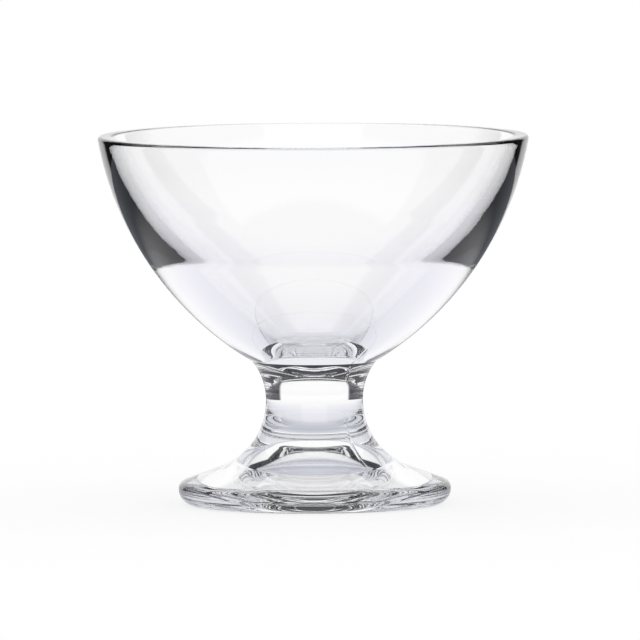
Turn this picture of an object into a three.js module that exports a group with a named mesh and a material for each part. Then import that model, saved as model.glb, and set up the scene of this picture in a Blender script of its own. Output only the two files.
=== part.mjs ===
// Sundae coupe of clear glass: a deep round bowl on a short waisted stem and a hollow bell foot.
// Millimetres, +Z up. The glass stands on the plane z = 0 with its axis on Z.
import * as THREE from 'three';

// Driving dimensions: the bowl
const HEIGHT = 90;
const RIM_DIAMETER = 105;
const RIM_THICKNESS = 3.5;
const LIP_RADIUS = 0.8;
const BOWL_OUTER_ARC = 79.5;
const BOWL_UPPER_ARC = 66;
const BOWL_LOWER_ARC = 85;
const SHOULDER_HEIGHT = 60;
const SHOULDER_THICKNESS = 7.5;
const SHOULDER_ROUNDING = 40;
const BOWL_FLOOR_HEIGHT = 41;
const BOWL_FLOOR_RADIUS = 8;
const BOWL_FLOOR_FILLET = 3.5;

// Driving dimensions: the stem
const STEM_TOP_HEIGHT = 35;
const WAIST_HEIGHT = 25.4;
const WAIST_DIAMETER = 23.6;
const UPPER_FLARE_ARC = 15.7;
const LOWER_FLARE_ARC = 17.5;

// Driving dimensions: the foot
const FOOT_TOP_HEIGHT = 14.5;
const FOOT_DIAMETER = 66.4;
const FOOT_EDGE_LOWER_RADIUS = 3.8;
const FOOT_EDGE_UPPER_RADIUS = 2.2;
const BEARING_RING_WIDTH = 3;
const HOLLOW_ROOF_HEIGHT = 12;
const HOLLOW_ROOF_RADIUS = 6;
const HOLLOW_KNEE_HEIGHT = 4;
const HOLLOW_KNEE_RADIUS = 15;
const HOLLOW_ROOF_FILLET = 4;
const HOLLOW_KNEE_FILLET = 4;
const HOLLOW_LIP_FILLET = 1;

// Fineness of the facets
const TURN_SEGMENTS = 72;
const CHORD_ERROR = 0.03;
const LEAST_STEP = 1e-3;

// Points shared by pieces that meet, as radius and height
const at = (radius, height) => new THREE.Vector2(radius, height);
const flareCentre = (arc) => at(WAIST_DIAMETER / 2 + arc, WAIST_HEIGHT);
const flareRadius = (arc, height) => {
  const centre = flareCentre(arc);
  return centre.x - Math.sqrt(arc ** 2 - (height - centre.y) ** 2);
};
const stemTop = at(flareRadius(UPPER_FLARE_ARC, STEM_TOP_HEIGHT), STEM_TOP_HEIGHT);
const footTop = at(flareRadius(LOWER_FLARE_ARC, FOOT_TOP_HEIGHT), FOOT_TOP_HEIGHT);

const angleFrom = (centre, point) => Math.atan2(point.y - centre.y, point.x - centre.x);

// The point at one distance from a and another from b, left of the way from a to b.
function atDistances(a, distanceA, b, distanceB) {
  const way = b.clone().sub(a);
  const span = way.length();
  const along = (distanceA ** 2 - distanceB ** 2 + span ** 2) / (2 * span);
  const aside = Math.sqrt(distanceA ** 2 - along ** 2);
  way.divideScalar(span);
  return at(a.x + way.x * along - way.y * aside, a.y + way.y * along + way.x * aside);
}

// A section is a run of points from the axis, out, up and back to the axis, with glass on its left.
class Section {
  constructor(start) {
    this.points = [start];
  }

  line(point) {
    if (point.distanceTo(this.points.at(-1)) > LEAST_STEP) this.points.push(point);
    return this;
  }

  // A round stretch about a centre, turning left for sweep > 0 and right for sweep < 0.
  arc(centre, radius, from, sweep) {
    const steps = Math.ceil(Math.abs(sweep) / (2 * Math.acos(1 - CHORD_ERROR / radius)));
    for (let i = 0; i <= steps; i += 1) {
      const angle = from + (sweep * i) / steps;
      this.line(at(centre.x + radius * Math.cos(angle), centre.y + radius * Math.sin(angle)));
    }
    return this;
  }

  // A rounded corner on the way from the last point, past the corner, to the next point.
  corner(corner, next, radius) {
    const back = this.points.at(-1).clone().sub(corner).normalize();
    const ahead = next.clone().sub(corner).normalize();
    const half = Math.acos(back.dot(ahead)) / 2;
    const middle = back.clone().add(ahead).normalize();
    const centre = corner.clone().addScaledVector(middle, radius / Math.sin(half));
    const start = corner.clone().addScaledVector(back, radius / Math.tan(half));
    const turn = Math.sign(ahead.cross(back)) * (Math.PI - 2 * half);
    return this.arc(centre, radius, angleFrom(centre, start), turn);
  }
}

// The signed turn from one angle to another, the short way round.
const shortTurn = (from, to) => Math.atan2(Math.sin(to - from), Math.cos(to - from));

// The bowl's outside is one arc. Its lip is flat on top, with softened edges.
// Its inside is one arc down to a soft shoulder and one on to the floor.
function bowlSection() {
  const lipOutside = at(RIM_DIAMETER / 2 - LIP_RADIUS, HEIGHT - LIP_RADIUS);
  const lipInside = at(RIM_DIAMETER / 2 - RIM_THICKNESS + LIP_RADIUS, HEIGHT - LIP_RADIUS);
  const fillet = at(BOWL_FLOOR_RADIUS, BOWL_FLOOR_HEIGHT + BOWL_FLOOR_FILLET);
  const outer = atDistances(stemTop, BOWL_OUTER_ARC, lipOutside, BOWL_OUTER_ARC - LIP_RADIUS);
  const shoulderReach = BOWL_OUTER_ARC - SHOULDER_THICKNESS + SHOULDER_ROUNDING;
  const shoulderTilt = Math.asin((SHOULDER_HEIGHT - outer.y) / (BOWL_OUTER_ARC - SHOULDER_THICKNESS));
  const shoulder = at(
    outer.x + shoulderReach * Math.cos(shoulderTilt),
    outer.y + shoulderReach * Math.sin(shoulderTilt),
  );
  const upper = atDistances(
    shoulder, BOWL_UPPER_ARC + SHOULDER_ROUNDING,
    lipInside, BOWL_UPPER_ARC + LIP_RADIUS,
  );
  const lower = atDistances(
    fillet, BOWL_LOWER_ARC - BOWL_FLOOR_FILLET,
    shoulder, BOWL_LOWER_ARC + SHOULDER_ROUNDING,
  );

  const outerStart = angleFrom(outer, stemTop);
  const outerEnd = angleFrom(outer, lipOutside);
  const upperStart = angleFrom(upper, lipInside);
  const upperEnd = angleFrom(upper, shoulder);
  const shoulderStart = angleFrom(shoulder, upper);
  const shoulderEnd = angleFrom(shoulder, lower);
  const lowerStart = angleFrom(lower, shoulder);
  const lowerEnd = angleFrom(lower, fillet);
  return new Section(at(0, STEM_TOP_HEIGHT))
    .line(stemTop)
    .arc(outer, BOWL_OUTER_ARC, outerStart, shortTurn(outerStart, outerEnd))
    .arc(lipOutside, LIP_RADIUS, outerEnd, -outerEnd)
    .arc(lipOutside, LIP_RADIUS, 0, Math.PI / 2)
    .arc(lipInside, LIP_RADIUS, Math.PI / 2, Math.PI / 2 + upperStart)
    .arc(upper, BOWL_UPPER_ARC, upperStart, shortTurn(upperStart, upperEnd))
    .arc(shoulder, SHOULDER_ROUNDING, shoulderStart, shortTurn(shoulderStart, shoulderEnd))
    .arc(lower, BOWL_LOWER_ARC, lowerStart, shortTurn(lowerStart, lowerEnd))
    .arc(fillet, BOWL_FLOOR_FILLET, lowerEnd, shortTurn(lowerEnd, -Math.PI / 2))
    .line(at(0, BOWL_FLOOR_HEIGHT));
}

// The stem is two hollow curves that meet at the waist.
function stemSection() {
  const lower = flareCentre(LOWER_FLARE_ARC);
  const upper = flareCentre(UPPER_FLARE_ARC);
  const lowerStart = angleFrom(lower, footTop);
  return new Section(at(0, FOOT_TOP_HEIGHT))
    .line(footTop)
    .arc(lower, LOWER_FLARE_ARC, lowerStart, shortTurn(lowerStart, Math.PI))
    .arc(upper, UPPER_FLARE_ARC, Math.PI, shortTurn(Math.PI, angleFrom(upper, stemTop)))
    .line(at(0, STEM_TOP_HEIGHT));
}

// The foot carries the stem's curve on to a straight slope and a round edge, over a stepped hollow.
function footSection() {
  const edgeLower = at(FOOT_DIAMETER / 2 - FOOT_EDGE_LOWER_RADIUS, FOOT_EDGE_LOWER_RADIUS);
  const edgeUpper = at(FOOT_DIAMETER / 2 - FOOT_EDGE_UPPER_RADIUS, FOOT_EDGE_LOWER_RADIUS);
  const flare = flareCentre(LOWER_FLARE_ARC);
  const gap = edgeUpper.distanceTo(flare);
  const slope = angleFrom(flare, edgeUpper) - Math.acos((LOWER_FLARE_ARC + FOOT_EDGE_UPPER_RADIUS) / gap);
  const ringOutside = at(edgeLower.x, 0);
  const ringInside = at(edgeLower.x - BEARING_RING_WIDTH, 0);
  const knee = at(HOLLOW_KNEE_RADIUS, HOLLOW_KNEE_HEIGHT);
  const roofEdge = at(HOLLOW_ROOF_RADIUS, HOLLOW_ROOF_HEIGHT);
  return new Section(at(0, HOLLOW_ROOF_HEIGHT))
    .corner(roofEdge, knee, HOLLOW_ROOF_FILLET)
    .corner(knee, ringInside, HOLLOW_KNEE_FILLET)
    .corner(ringInside, ringOutside, HOLLOW_LIP_FILLET)
    .line(ringOutside)
    .arc(edgeLower, FOOT_EDGE_LOWER_RADIUS, -Math.PI / 2, Math.PI / 2)
    .arc(edgeUpper, FOOT_EDGE_UPPER_RADIUS, 0, slope + Math.PI)
    .arc(flare, LOWER_FLARE_ARC, slope, shortTurn(slope, angleFrom(flare, footTop)))
    .line(at(0, FOOT_TOP_HEIGHT));
}

// Each piece is its section turned about the axis.
function glassPiece(name, section) {
  const geometry = new THREE.LatheGeometry(section.points, TURN_SEGMENTS).rotateX(Math.PI / 2);
  const material = new THREE.MeshStandardMaterial({
    color: 0xf4f7f8,
    roughness: 0.03,
    metalness: 0,
    transparent: true,
    opacity: 0.35,
  });
  const piece = new THREE.Mesh(geometry, material);
  piece.name = name;
  return piece;
}

const coupe = new THREE.Group();
coupe.name = 'sundae_coupe';
coupe.add(
  glassPiece('bowl', bowlSection()),
  glassPiece('stem', stemSection()),
  glassPiece('foot', footSection()),
);

export default coupe;
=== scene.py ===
# %% [markdown]
# # A sundae coupe in clear pressed glass
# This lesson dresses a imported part. The part is a glass for ice cream: a deep round bowl, a short
# waisted stem, and a hollow bell foot. Everything on it is clear glass, so the look comes from two
# things only: an exact shape, since every surface bends light, and the studio that the glass bends.

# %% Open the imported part
import math

import bpy
import numpy as np
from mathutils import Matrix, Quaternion, Vector


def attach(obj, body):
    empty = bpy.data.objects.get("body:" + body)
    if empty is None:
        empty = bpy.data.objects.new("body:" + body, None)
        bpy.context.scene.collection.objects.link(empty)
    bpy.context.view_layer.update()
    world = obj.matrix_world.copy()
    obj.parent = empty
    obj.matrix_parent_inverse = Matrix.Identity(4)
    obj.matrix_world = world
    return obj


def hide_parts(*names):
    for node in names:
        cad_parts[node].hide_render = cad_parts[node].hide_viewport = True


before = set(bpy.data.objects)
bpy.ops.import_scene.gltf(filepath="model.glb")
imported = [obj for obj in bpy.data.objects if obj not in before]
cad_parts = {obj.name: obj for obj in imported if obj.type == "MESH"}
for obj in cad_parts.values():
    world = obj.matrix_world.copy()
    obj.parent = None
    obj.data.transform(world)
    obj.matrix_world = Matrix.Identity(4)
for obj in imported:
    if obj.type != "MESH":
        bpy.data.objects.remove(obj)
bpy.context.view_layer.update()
scene = bpy.context.scene
MM = 0.001
print("CAD nodes:", sorted(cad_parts))

# %% [markdown]
# ## Sections
# A pressed glass is round about one axis, so each piece is one outline, its section, turned about Z.
# The section runs over plain arcs and straight lines, as a mould maker's drawing does. A spline
# through a few points would be quicker to write, but small dents in it would show as dark marks in
# the glass. Arcs that touch without a kink bend light smoothly.

# %% Arcs and corners of a section
def arc(centre, radius, start, sweep, steps):
    """Points on a circle about centre, from the angle start over the signed angle sweep."""
    angle = start + sweep * np.linspace(0.0, 1.0, steps + 1)
    return np.stack([centre[0] + radius * np.cos(angle), centre[1] + radius * np.sin(angle)], axis=1)


def angle_from(centre, point):
    """The angle at which a point is seen from a centre."""
    return math.atan2(point[1] - centre[1], point[0] - centre[0])


def short_turn(start, end):
    """The signed angle from start to end, the short way round."""
    return math.atan2(math.sin(end - start), math.cos(end - start))


def rounded_corner(before, corner, after, radius, steps):
    """The arc of that radius that touches both legs of a corner, from the leg before to the leg after."""
    before, corner, after = (np.array(p, float) for p in (before, corner, after))
    back = (before - corner) / np.hypot(*(before - corner))
    ahead = (after - corner) / np.hypot(*(after - corner))
    half = math.acos(float(back @ ahead)) / 2
    middle = (back + ahead) / np.hypot(*(back + ahead))
    centre = corner + middle * radius / math.sin(half)
    first = corner + back * radius / math.tan(half)
    turn = math.copysign(math.pi - 2 * half, ahead[0] * back[1] - ahead[1] * back[0])
    return arc(centre, radius, angle_from(centre, first), turn, steps)


def at_distances(a, distance_a, b, distance_b):
    """The point at one distance from a and another from b, left of the way from a to b."""
    way = np.array(b, float) - np.array(a, float)
    span = float(np.hypot(*way))
    along = (distance_a**2 - distance_b**2 + span**2) / (2 * span)
    aside = math.sqrt(distance_a**2 - along**2)
    way /= span
    return np.array([a[0] + way[0] * along - way[1] * aside, a[1] + way[1] * along + way[0] * aside])


def joined(*runs):
    """One section from several runs of points, without points that repeat."""
    points = np.vstack([np.atleast_2d(np.array(run, float)) for run in runs])
    step = np.hypot(*np.diff(points, axis=0).T)
    return points[np.r_[True, step > 1e-4]]


# %% [markdown]
# ## The bowl's section
# The bowl is the part that holds the ice cream. Its outside is one large arc, and its lip is flat on
# top with softened edges. Its inside, which the press's plunger shaped, is two arcs that meet in a
# soft shoulder: above it the wall thickens from the lip down, below it the wall keeps its thickness.
# That wedge matters: light that enters near the outline is caught in it, and the bowl gets its dark
# edges, which end at the shoulder, from this.

# %% The bowl's sizes, in millimetres
HEIGHT, RIM_RADIUS, RIM_THICKNESS, LIP_RADIUS = 90.0, 52.5, 3.5, 0.8
BOWL_OUTER_ARC, BOWL_UPPER_ARC, BOWL_LOWER_ARC = 79.5, 66.0, 85.0
SHOULDER_HEIGHT, SHOULDER_THICKNESS, SHOULDER_ROUNDING = 60.0, 7.5, 40.0
BOWL_FLOOR_HEIGHT, BOWL_FLOOR_RADIUS, BOWL_FLOOR_FILLET = 41.0, 8.0, 3.5
STEM_TOP_HEIGHT, FOOT_TOP_HEIGHT = 35.0, 14.5
WAIST_HEIGHT, WAIST_RADIUS = 25.4, 11.8
UPPER_FLARE_ARC, LOWER_FLARE_ARC = 15.7, 17.5

upper_flare = np.array([WAIST_RADIUS + UPPER_FLARE_ARC, WAIST_HEIGHT])
lower_flare = np.array([WAIST_RADIUS + LOWER_FLARE_ARC, WAIST_HEIGHT])


def on_flare(centre, radius, height):
    """The point of a flare's circle, on the side of the axis, at a height."""
    return np.array([centre[0] - math.sqrt(radius**2 - (height - centre[1]) ** 2), height])


stem_top = on_flare(upper_flare, UPPER_FLARE_ARC, STEM_TOP_HEIGHT)
foot_top = on_flare(lower_flare, LOWER_FLARE_ARC, FOOT_TOP_HEIGHT)
print(f"joints: {2 * stem_top[0]:.1f} mm across under the bowl, {2 * foot_top[0]:.1f} mm on the foot")


# %% Draw the bowl's section
def bowl_section():
    """Out along the joint face, up the outer arc, over the flat lip, down the inner arcs to the floor."""
    lip_outside = np.array([RIM_RADIUS - LIP_RADIUS, HEIGHT - LIP_RADIUS])
    lip_inside = np.array([RIM_RADIUS - RIM_THICKNESS + LIP_RADIUS, HEIGHT - LIP_RADIUS])
    fillet = np.array([BOWL_FLOOR_RADIUS, BOWL_FLOOR_HEIGHT + BOWL_FLOOR_FILLET])
    outer = at_distances(stem_top, BOWL_OUTER_ARC, lip_outside, BOWL_OUTER_ARC - LIP_RADIUS)
    inside = BOWL_OUTER_ARC - SHOULDER_THICKNESS
    tilt = math.asin((SHOULDER_HEIGHT - outer[1]) / inside)
    shoulder = outer + (inside + SHOULDER_ROUNDING) * np.array([math.cos(tilt), math.sin(tilt)])
    upper = at_distances(
        shoulder, BOWL_UPPER_ARC + SHOULDER_ROUNDING, lip_inside, BOWL_UPPER_ARC + LIP_RADIUS
    )
    lower = at_distances(
        fillet, BOWL_LOWER_ARC - BOWL_FLOOR_FILLET, shoulder, BOWL_LOWER_ARC + SHOULDER_ROUNDING
    )
    outer_start, outer_end = angle_from(outer, stem_top), angle_from(outer, lip_outside)
    upper_start, upper_end = angle_from(upper, lip_inside), angle_from(upper, shoulder)
    round_start, round_end = angle_from(shoulder, upper), angle_from(shoulder, lower)
    lower_start, lower_end = angle_from(lower, shoulder), angle_from(lower, fillet)
    return joined(
        (0.0, STEM_TOP_HEIGHT),
        arc(outer, BOWL_OUTER_ARC, outer_start, short_turn(outer_start, outer_end), 72),
        arc(lip_outside, LIP_RADIUS, outer_end, math.pi / 2 - outer_end, 18),
        arc(lip_inside, LIP_RADIUS, math.pi / 2, math.pi / 2 + upper_start, 18),
        arc(upper, BOWL_UPPER_ARC, upper_start, short_turn(upper_start, upper_end), 40),
        arc(shoulder, SHOULDER_ROUNDING, round_start, short_turn(round_start, round_end), 8),
        arc(lower, BOWL_LOWER_ARC, lower_start, short_turn(lower_start, lower_end), 36),
        arc(fillet, BOWL_FLOOR_FILLET, lower_end, short_turn(lower_end, -math.pi / 2), 16),
        (0.0, BOWL_FLOOR_HEIGHT),
    )


# %% [markdown]
# ## The stem's and the foot's sections
# The stem is two hollow curves that meet at the waist. The foot carries the lower curve on to a
# straight slope and a round edge. Underneath it is hollow, as a bell is, and stands on a narrow ring,
# so that it doesn't rock and the press can draw its plunger out.

# %% The foot's sizes and the two sections
FOOT_RADIUS, BEARING_RING_WIDTH = 33.2, 3.0
FOOT_EDGE_LOWER_RADIUS, FOOT_EDGE_UPPER_RADIUS = 3.8, 2.2
HOLLOW_ROOF_HEIGHT, HOLLOW_ROOF_RADIUS = 12.0, 6.0
HOLLOW_KNEE_HEIGHT, HOLLOW_KNEE_RADIUS = 4.0, 15.0
HOLLOW_ROOF_FILLET, HOLLOW_KNEE_FILLET, HOLLOW_LIP_FILLET = 4.0, 4.0, 1.0


def stem_section():
    """Out along the lower joint face, in to the waist, out to the upper joint face, back to the axis."""
    lower_start = angle_from(lower_flare, foot_top)
    upper_end = angle_from(upper_flare, stem_top)
    return joined(
        (0.0, FOOT_TOP_HEIGHT),
        arc(lower_flare, LOWER_FLARE_ARC, lower_start, short_turn(lower_start, math.pi), 40),
        arc(upper_flare, UPPER_FLARE_ARC, math.pi, short_turn(math.pi, upper_end), 40),
        (0.0, STEM_TOP_HEIGHT),
    )


def foot_section():
    """Down the stepped hollow to the bearing ring, round the edge, up the slope to the joint face."""
    edge_lower = np.array([FOOT_RADIUS - FOOT_EDGE_LOWER_RADIUS, FOOT_EDGE_LOWER_RADIUS])
    edge_upper = np.array([FOOT_RADIUS - FOOT_EDGE_UPPER_RADIUS, FOOT_EDGE_LOWER_RADIUS])
    gap = float(np.hypot(*(edge_upper - lower_flare)))
    slope = angle_from(lower_flare, edge_upper)
    slope -= math.acos((LOWER_FLARE_ARC + FOOT_EDGE_UPPER_RADIUS) / gap)
    roof, roof_edge = (0.0, HOLLOW_ROOF_HEIGHT), (HOLLOW_ROOF_RADIUS, HOLLOW_ROOF_HEIGHT)
    knee = (HOLLOW_KNEE_RADIUS, HOLLOW_KNEE_HEIGHT)
    ring_outside, ring_inside = (edge_lower[0], 0.0), (edge_lower[0] - BEARING_RING_WIDTH, 0.0)
    flare_end = angle_from(lower_flare, foot_top)
    return joined(
        roof,
        rounded_corner(roof, roof_edge, knee, HOLLOW_ROOF_FILLET, 16),
        rounded_corner(roof_edge, knee, ring_inside, HOLLOW_KNEE_FILLET, 16),
        rounded_corner(knee, ring_inside, ring_outside, HOLLOW_LIP_FILLET, 10),
        ring_outside,
        arc(edge_lower, FOOT_EDGE_LOWER_RADIUS, -math.pi / 2, math.pi / 2, 18),
        arc(edge_upper, FOOT_EDGE_UPPER_RADIUS, 0.0, slope + math.pi, 18),
        arc(lower_flare, LOWER_FLARE_ARC, slope, short_turn(slope, flare_end), 40),
        (0.0, FOOT_TOP_HEIGHT),
    )


sections = {"bowl": bowl_section(), "stem": stem_section(), "foot": foot_section()}
print({name: len(section) for name, section in sections.items()}, "points in the sections")

# %% [markdown]
# ## Mould seams
# A fine raised line on the stem shows that the glass was pressed in a mould with a parting. Two mould
# halves are taken here, so such a line runs down the glass on opposite sides. A line in a texture
# wouldn't bend light, so the seam is real: a low ridge across the surface's columns, which stand
# closer together there.

# %% Columns round the axis, closer at the seams
SEAM_ANGLES = np.radians([-52.5, 127.5])
SEAM_WIDTH, SEAM_LIFT = 0.22, 0.10
SEAM_TOP, SEAM_FADE, SEAM_FOOT = 49.0, 6.0, 23.0

plain_columns = np.arange(0.0, 360.0, 1.0)
seam_columns = np.degrees(SEAM_ANGLES)[:, None] + np.linspace(-4.0, 4.0, 41)
columns = np.radians(np.unique(np.round(np.r_[plain_columns, seam_columns.ravel() % 360.0], 3)))


def seam_ridge(radius, height, outside):
    """How far each point stands out: a bell curve over the distance from the nearest seam, along the
    surface, on the outside only, fading out up the bowl and out towards the foot's edge."""
    turn = columns[None, :, None] - SEAM_ANGLES
    distance = radius[:, None] * np.abs(np.angle(np.exp(1j * turn))).min(axis=2)
    up_the_bowl = np.clip((SEAM_TOP - height) / SEAM_FADE, 0.0, 1.0)
    out_the_foot = np.clip((SEAM_FOOT - radius) / SEAM_FADE, 0.0, 1.0)
    fade = outside * up_the_bowl * out_the_foot
    return SEAM_LIFT * fade[:, None] * np.exp(-0.5 * (distance / SEAM_WIDTH) ** 2)


print(len(columns), "columns round the axis")


# %% [markdown]
# ## Turning a section
# Two parameters make the surface: the step along the section and the angle round the axis. The
# first and last points lie on the axis and become single vertices, so both poles close. Faces that
# lie in a joint between two pieces get a second material slot.

# %% Turn a section into a closed piece
FLAT_SLOPE, JOINT_REACH, SHARP_ANGLE = 0.999, 0.01, math.radians(30)


def turned(name, section, outside, joint_heights):
    """Each section point's radius and height, plus the ridge, carried round every column's angle."""
    ring = section[1:-1]
    radius = ring[:, 0][:, None] + seam_ridge(ring[:, 0], ring[:, 1], outside[1:-1])
    height = np.broadcast_to(ring[:, 1][:, None], radius.shape)
    grid = np.stack([radius * np.cos(columns), radius * np.sin(columns), height], axis=2).reshape(-1, 3)
    poles = np.array([[0.0, 0.0, section[0, 1]], [0.0, 0.0, section[-1, 1]]])
    rows, around = len(ring), len(columns)
    i, j = np.meshgrid(np.arange(rows - 1), np.arange(around), indexing="ij")
    here, beside = i * around + j, i * around + (j + 1) % around
    quads = np.stack([here, beside, beside + around, here + around], axis=2)
    k = np.arange(around)
    low = np.stack([np.full(around, rows * around), (k + 1) % around, k], axis=1)
    last = (rows - 1) * around
    high = np.stack([np.full(around, rows * around + 1), last + k, last + (k + 1) % around], axis=1)
    faces = quads.reshape(-1, 4).tolist() + low.tolist() + high.tolist()
    mesh = bpy.data.meshes.new(name)
    mesh.from_pydata((np.vstack([grid, poles]) * MM).tolist(), [], faces)
    mesh.polygons.foreach_set("use_smooth", np.ones(len(faces), bool))
    middles = np.empty(len(faces) * 3)
    mesh.polygons.foreach_get("center", middles)
    normals = np.empty(len(faces) * 3)
    mesh.polygons.foreach_get("normal", normals)
    flat = np.abs(normals.reshape(-1, 3)[:, 2]) > FLAT_SLOPE
    from_joints = np.abs(middles.reshape(-1, 3)[:, 2][:, None] / MM - joint_heights)
    in_joint = (from_joints < JOINT_REACH).any(axis=1)
    mesh.polygons.foreach_set("material_index", (flat & in_joint).astype(np.int32))
    mesh.set_sharp_from_angle(angle=SHARP_ANGLE)
    mesh.update()
    piece = bpy.data.objects.new(name, mesh)
    scene.collection.objects.link(piece)
    print(f"{name}: {len(mesh.vertices)} vertices, {int((flat & in_joint).sum())} faces in joints")
    return piece


def outer_side(section, name):
    """1 where a section point is on the outside that the mould halves shape, 0 elsewhere."""
    top = int(np.argmax(section[:, 1]))
    edge = int(np.argmax(section[:, 0]))
    place = np.arange(len(section))
    return {"bowl": place <= top, "stem": place > 0, "foot": place >= edge}[name].astype(float)


joints = np.array([STEM_TOP_HEIGHT, FOOT_TOP_HEIGHT])
pieces = {
    name: turned("glass_" + name, section, outer_side(section, name), joints)
    for name, section in sections.items()
}

# %% [markdown]
# ## Clear glass
# Soda-lime glass bends light by an index of 1.52 and takes almost no colour in a wall this thin, with
# a faint cool cast. A press leaves the skin a little wavy, with finer chill marks where hot glass first
# met cold iron, and that is what tells it from cut or blown glass. Both are bumps on Object
# coordinates, so they stay put on the piece.

# %% The glass material
GLASS_INDEX, GLASS_CAST = 1.52, (0.998, 0.998, 1.0, 1.0)
WAVE_CELLS, WAVE_DETAIL, WAVE_DEPTH = 70.0, 1.0, 0.00002
CHILL_CELLS, CHILL_DETAIL, CHILL_DEPTH = 420.0, 2.0, 0.000002


def new_material(name):
    """An empty node material, its node tree and a maker of nodes in it."""
    material = bpy.data.materials.new(name)
    material.use_nodes = True
    material.node_tree.nodes.clear()
    return material, material.node_tree, material.node_tree.nodes.new


def noise_bump(tree, coordinates, cells_per_metre, detail, distance, normal=None):
    """A bump from noise with that many cells to the metre, of that depth in metres."""
    noise = tree.nodes.new("ShaderNodeTexNoise")
    noise.inputs["Scale"].default_value = cells_per_metre
    noise.inputs["Detail"].default_value = detail
    bump = tree.nodes.new("ShaderNodeBump")
    bump.inputs["Strength"].default_value = 1.0
    bump.inputs["Distance"].default_value = distance
    tree.links.new(coordinates, noise.inputs["Vector"])
    tree.links.new(noise.outputs["Fac"], bump.inputs["Height"])
    if normal is not None:
        tree.links.new(normal, bump.inputs["Normal"])
    return bump.outputs["Normal"]


def clear_glass():
    """Clear glass with a wavy pressed skin and finer chill marks."""
    material, tree, node = new_material("clear_pressed_glass")
    out = node("ShaderNodeOutputMaterial")
    glass = node("ShaderNodeBsdfPrincipled")
    glass.inputs["Base Color"].default_value = GLASS_CAST
    glass.inputs["Transmission Weight"].default_value = 1.0
    glass.inputs["Roughness"].default_value = 0.0
    glass.inputs["IOR"].default_value = GLASS_INDEX
    place = node("ShaderNodeTexCoord").outputs["Object"]
    waves = noise_bump(tree, place, WAVE_CELLS, WAVE_DETAIL, WAVE_DEPTH)
    skin = noise_bump(tree, place, CHILL_CELLS, CHILL_DETAIL, CHILL_DEPTH, waves)
    tree.links.new(skin, glass.inputs["Normal"])
    tree.links.new(glass.outputs["BSDF"], out.inputs["Surface"])
    return material


glass = clear_glass()
print("material:", glass.name)

# %% [markdown]
# ## Fused joints
# Pieces of glass that are joined hot become one body, and light crosses the joint as if it weren't
# there. Each piece of the model keeps its own flat joint face, closed, and a see-through shader on
# that face lets light pass without bending, as fused glass does.

# %% The joint material, and what each piece stands for
def fused_joint():
    """Lets light straight through, as inside one body of glass."""
    material, tree, node = new_material("fused_joint")
    out = node("ShaderNodeOutputMaterial")
    through = node("ShaderNodeBsdfTransparent")
    tree.links.new(through.outputs["BSDF"], out.inputs["Surface"])
    return material


joint = fused_joint()
for name, piece in pieces.items():
    piece.data.materials.append(glass)
    piece.data.materials.append(joint)
    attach(piece, "root")
    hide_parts(name)

# %% [markdown]
# ## Stage
# Clear glass has no look of its own: it shows the room, bent. This room is a white floor and white
# surroundings, which make the glass white inside, and dark things out of the picture, which draw its
# edges. To the camera the floor is one part paint, lit by the room, and several parts glow, so it stays
# white and still keeps the soft shadow at the foot. Light that the glass bends shows it as paper with a
# faint cool cast and a painted shadow of the glass, darkest in a ring near the foot and paling to white
# farther out. The mirror images on the glass's skin, which are strong only along its outline, show
# where the paper ends: a darker table makes the outline dark.
# No real floor looks so different in each kind of light. A renderer can tell them apart.

# %% The white floor
FLOOR_RADIUS, FLOOR_LEVEL = 6.0, -0.00002
PAPER_REACH = 0.3
# The floor as bent light shows it, by distance from the axis: a faint cool cast and a painted shadow of
# the glass, darkest at 18 mm and white from 230 mm.
PAPER_CAST_AND_PAINTED_SHADOW = (
    (0.000, (0.680, 0.700, 0.780)),
    (0.018, (0.500, 0.515, 0.580)),
    (0.033, (0.720, 0.730, 0.790)),
    (0.050, (0.810, 0.810, 0.870)),
    (0.075, (0.840, 0.835, 0.900)),
    (0.100, (0.880, 0.875, 0.935)),
    (0.160, (0.960, 0.955, 0.990)),
    (0.230, (1.000, 1.000, 1.000)),
)
PAPER_EDGE, TABLE_COLOUR = (0.12, 0.24), (0.210, 0.220, 0.250, 1.0)
PAINT_SHARE = 0.2
WHITE = (1.0, 1.0, 1.0, 1.0)


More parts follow.
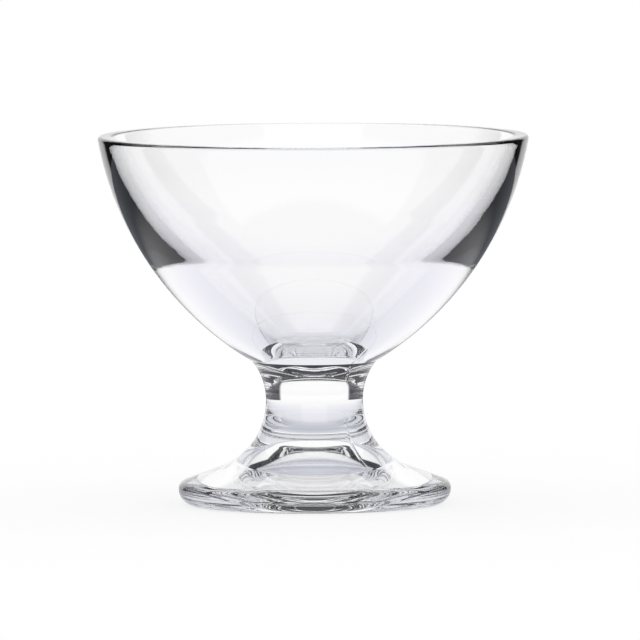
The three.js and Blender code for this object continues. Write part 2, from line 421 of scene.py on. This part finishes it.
def white_floor():
    """Paint and glow to the camera. To the glass a glow with a cool cast and a painted shadow, by
    distance from the axis.
    """
    material, tree, node = new_material("white_floor")
    out = node("ShaderNodeOutputMaterial")
    path = node("ShaderNodeLightPath")
    place = node("ShaderNodeTexCoord")
    reach = node("ShaderNodeVectorMath")
    reach.operation = "LENGTH"
    share = node("ShaderNodeMath")
    share.operation = "DIVIDE"
    share.inputs[1].default_value = PAPER_REACH
    # The ramp of cool cast and painted shadow, darker near the axis.
    cast_and_painted_shadow = node("ShaderNodeValToRGB")
    cast_and_painted_shadow.color_ramp.elements[0].color = (*PAPER_CAST_AND_PAINTED_SHADOW[0][1], 1.0)
    for distance, colour in PAPER_CAST_AND_PAINTED_SHADOW[1:]:
        cast_and_painted_shadow.color_ramp.elements.new(distance / PAPER_REACH).color = (*colour, 1.0)
    beyond = node("ShaderNodeMapRange")
    beyond.interpolation_type = "SMOOTHSTEP"
    beyond.inputs["From Min"].default_value = PAPER_EDGE[0]
    beyond.inputs["From Max"].default_value = PAPER_EDGE[1]
    mirrored = node("ShaderNodeMath")
    mirrored.operation = "MULTIPLY"
    table = node("ShaderNodeMix")
    table.data_type = "RGBA"
    table.inputs["B"].default_value = TABLE_COLOUR
    paper = node("ShaderNodeEmission")
    paint = node("ShaderNodeBsdfDiffuse")
    paint.inputs["Color"].default_value = (PAINT_SHARE, PAINT_SHARE, PAINT_SHARE, 1.0)
    glow = node("ShaderNodeEmission")
    glow.inputs["Strength"].default_value = 1.0 - PAINT_SHARE
    both = node("ShaderNodeAddShader")
    seen = node("ShaderNodeMixShader")
    tree.links.new(place.outputs["Object"], reach.inputs[0])
    tree.links.new(reach.outputs["Value"], share.inputs[0])
    tree.links.new(share.outputs["Value"], cast_and_painted_shadow.inputs["Fac"])
    tree.links.new(reach.outputs["Value"], beyond.inputs["Value"])
    tree.links.new(beyond.outputs["Result"], mirrored.inputs[0])
    tree.links.new(path.outputs["Is Reflection Ray"], mirrored.inputs[1])
    tree.links.new(mirrored.outputs["Value"], table.inputs["Factor"])
    tree.links.new(cast_and_painted_shadow.outputs["Color"], table.inputs["A"])
    tree.links.new(table.outputs["Result"], paper.inputs["Color"])
    tree.links.new(paint.outputs["BSDF"], both.inputs[0])
    tree.links.new(glow.outputs["Emission"], both.inputs[1])
    tree.links.new(path.outputs["Is Camera Ray"], seen.inputs[0])
    tree.links.new(paper.outputs["Emission"], seen.inputs[1])
    tree.links.new(both.outputs["Shader"], seen.inputs[2])
    tree.links.new(seen.outputs["Shader"], out.inputs["Surface"])
    return material


def stage_piece(name, points, faces, material):
    """A sheet of faces over points, with one material, linked to the scene."""
    mesh = bpy.data.meshes.new(name)
    mesh.from_pydata(points.tolist(), [], faces)
    mesh.materials.append(material)
    sheet = bpy.data.objects.new(name, mesh)
    scene.collection.objects.link(sheet)
    return sheet


round_edge = np.radians(np.arange(0.0, 360.0, 5.0))
level = np.full_like(round_edge, FLOOR_LEVEL)
floor_points = [FLOOR_RADIUS * np.cos(round_edge), FLOOR_RADIUS * np.sin(round_edge), level]
stage_piece("floor", np.stack(floor_points, axis=1), [list(range(len(level)))], white_floor())
# The stops counted here hold the cool cast and the painted shadow together.
print(f"floor: {FLOOR_RADIUS:.0f} m in radius, with {len(PAPER_CAST_AND_PAINTED_SHADOW)} tints to bent light")

# %% The white surroundings
world = bpy.data.worlds.new("white_room")
scene.world = world
world.use_nodes = True
room = world.node_tree.nodes["Background"]
room.inputs["Color"].default_value = WHITE
room.inputs["Strength"].default_value = 1.0

# %% [markdown]
# ## Light tent
# Small glass is often photographed in a tent of white cloth with dark cloths pinned inside it. Here the
# camera looks through the tent, and it throws no shadow: only the glass shows it. Light that the stem
# and the foot bend sideways or upward comes from the dark cloths, and that gives the stem its dark
# collar and sides and the hollow its dark arch. The high cloths show in bent light only, so that
# the bowl, whose inside mirrors the roof, stays clear. All have soft edges, so they draw no lines.
# The tent is wide, and other views look past its cloths at the floor.

# %% The tent and its dark cloths
TENT_RADIUS, CLOTH_EDGE, DARK_CLOTH = 0.45, 4.0, (0.030, 0.031, 0.036, 1.0)
DARK_CLOTHS = {"sides": (33, 150, -20, 27), "corners": (33, 58, 10, 60), "back": (-20, 58, 33.5, 62)}
HIGH_CLOTHS = {"high sides": (33, 100, 10, 75), "roof": (-20, 200, 52, 120)}


def soft_step(value, edge):
    """0 before an edge and 1 past it, in degrees, with a smooth passage as wide as a cloth's edge."""
    share = np.clip((value - edge) / CLOTH_EDGE + 0.5, 0.0, 1.0)
    return share * share * (3.0 - 2.0 * share)


def cloth_shade(azimuth, elevation, cloths):
    """1 on a dark cloth and 0 off it, by degrees to either side from straight behind and degrees up."""
    shade = np.zeros_like(azimuth)
    for inner, outer, low, high in cloths.values():
        across = soft_step(azimuth, inner) * (1.0 - soft_step(azimuth, outer))
        upward = soft_step(elevation, low) * (1.0 - soft_step(elevation, high))
        shade = np.maximum(shade, across * upward)
    return shade.ravel().astype(np.float32)


def tent_cloth():
    """White cloth that turns dark, with a faint cool cast, by the shades stored at the tent's points."""
    material, tree, node = new_material("tent_cloth")
    out = node("ShaderNodeOutputMaterial")
    path = node("ShaderNodeLightPath")
    shade = node("ShaderNodeAttribute")
    shade.attribute_name = "shade"
    high_shade = node("ShaderNodeAttribute")
    high_shade.attribute_name = "high_shade"
    bent = node("ShaderNodeMath")
    bent.operation = "MULTIPLY"
    darker = node("ShaderNodeMath")
    darker.operation = "MAXIMUM"
    colour = node("ShaderNodeMix")
    colour.data_type = "RGBA"
    colour.inputs["A"].default_value = WHITE
    colour.inputs["B"].default_value = DARK_CLOTH
    glow = node("ShaderNodeEmission")
    tree.links.new(high_shade.outputs["Fac"], bent.inputs[0])
    tree.links.new(path.outputs["Is Transmission Ray"], bent.inputs[1])
    tree.links.new(shade.outputs["Fac"], darker.inputs[0])
    tree.links.new(bent.outputs["Value"], darker.inputs[1])
    tree.links.new(darker.outputs["Value"], colour.inputs["Factor"])
    tree.links.new(colour.outputs["Result"], glow.inputs["Color"])
    tree.links.new(glow.outputs["Emission"], out.inputs["Surface"])
    return material


turns, rises = np.meshgrid(np.arange(-180.0, 180.0, 1.5), np.linspace(0.0, 89.9, 61), indexing="ij")
turn, rise = np.radians(turns), np.radians(rises)
ball = np.stack([np.sin(turn) * np.cos(rise), np.cos(turn) * np.cos(rise), np.sin(rise)], axis=2)
i, j = np.meshgrid(np.arange(len(turns)), np.arange(rises.shape[1] - 1), indexing="ij")
here, beside = i * rises.shape[1] + j, (i + 1) % len(turns) * rises.shape[1] + j
tent_faces = np.stack([here, here + 1, beside + 1, beside], axis=2).reshape(-1, 4)
tent = stage_piece("light_tent", TENT_RADIUS * ball.reshape(-1, 3), tent_faces.tolist(), tent_cloth())
for name, cloths in (("shade", DARK_CLOTHS), ("high_shade", HIGH_CLOTHS)):
    shades = tent.data.attributes.new(name, "FLOAT", "POINT")
    shades.data.foreach_set("value", cloth_shade(np.abs(turns), rises, cloths))
tent.visible_camera = False
tent.visible_diffuse = False
tent.visible_shadow = False
print("tent:", len(tent_faces), "faces; dark cloths:", [*DARK_CLOTHS, *HIGH_CLOTHS])

# %% [markdown]
# ## Camera
# The photograph was taken from a little above the rim with a long lens. The rim's ellipse gives the
# height, and the glass's known width gives the scale.

# %% The camera
CAMERA_AT = np.array([1.45, -4000.0, 331.0]) * MM
LOOKS_AT = np.array([1.45, 0.0, 44.9]) * MM
PIXELS_PER_MM, FRAME_PIXELS, CAMERA_TILT = 4.105, 640, math.radians(-0.27)

camera_data = bpy.data.cameras.new("camera")
camera = bpy.data.objects.new("camera", camera_data)
scene.collection.objects.link(camera)
scene.camera = camera
way = Vector(LOOKS_AT - CAMERA_AT)
camera.location = CAMERA_AT
camera.rotation_mode = "QUATERNION"
camera.rotation_quaternion = way.to_track_quat("-Z", "Y") @ Quaternion((0, 0, 1), CAMERA_TILT)
camera_data.sensor_width = 36.0
camera_data.lens = camera_data.sensor_width * PIXELS_PER_MM * (way.length / MM) / FRAME_PIXELS
camera_data.clip_end = 100.0
print(f"lens {camera_data.lens:.0f} mm at {way.length:.2f} m")

# %% [markdown]
# ## Light paths
# Each crossing or mirror inside glass is a bounce, and past a limit the renderer gives up and returns
# black. Light that the wall's wedge has caught needs many. In the photograph it ends in the dark parts
# of the studio, and here the limit stands in for some of these: a much higher one makes the bowl's edges
# pale. A much lower one makes the bowl look smoky from above.

# %% Bounces and view
scene.cycles.max_bounces = 25
scene.cycles.transmission_bounces = 16
scene.cycles.glossy_bounces = 10
scene.cycles.transparent_max_bounces = 32
scene.view_settings.view_transform = "Standard"
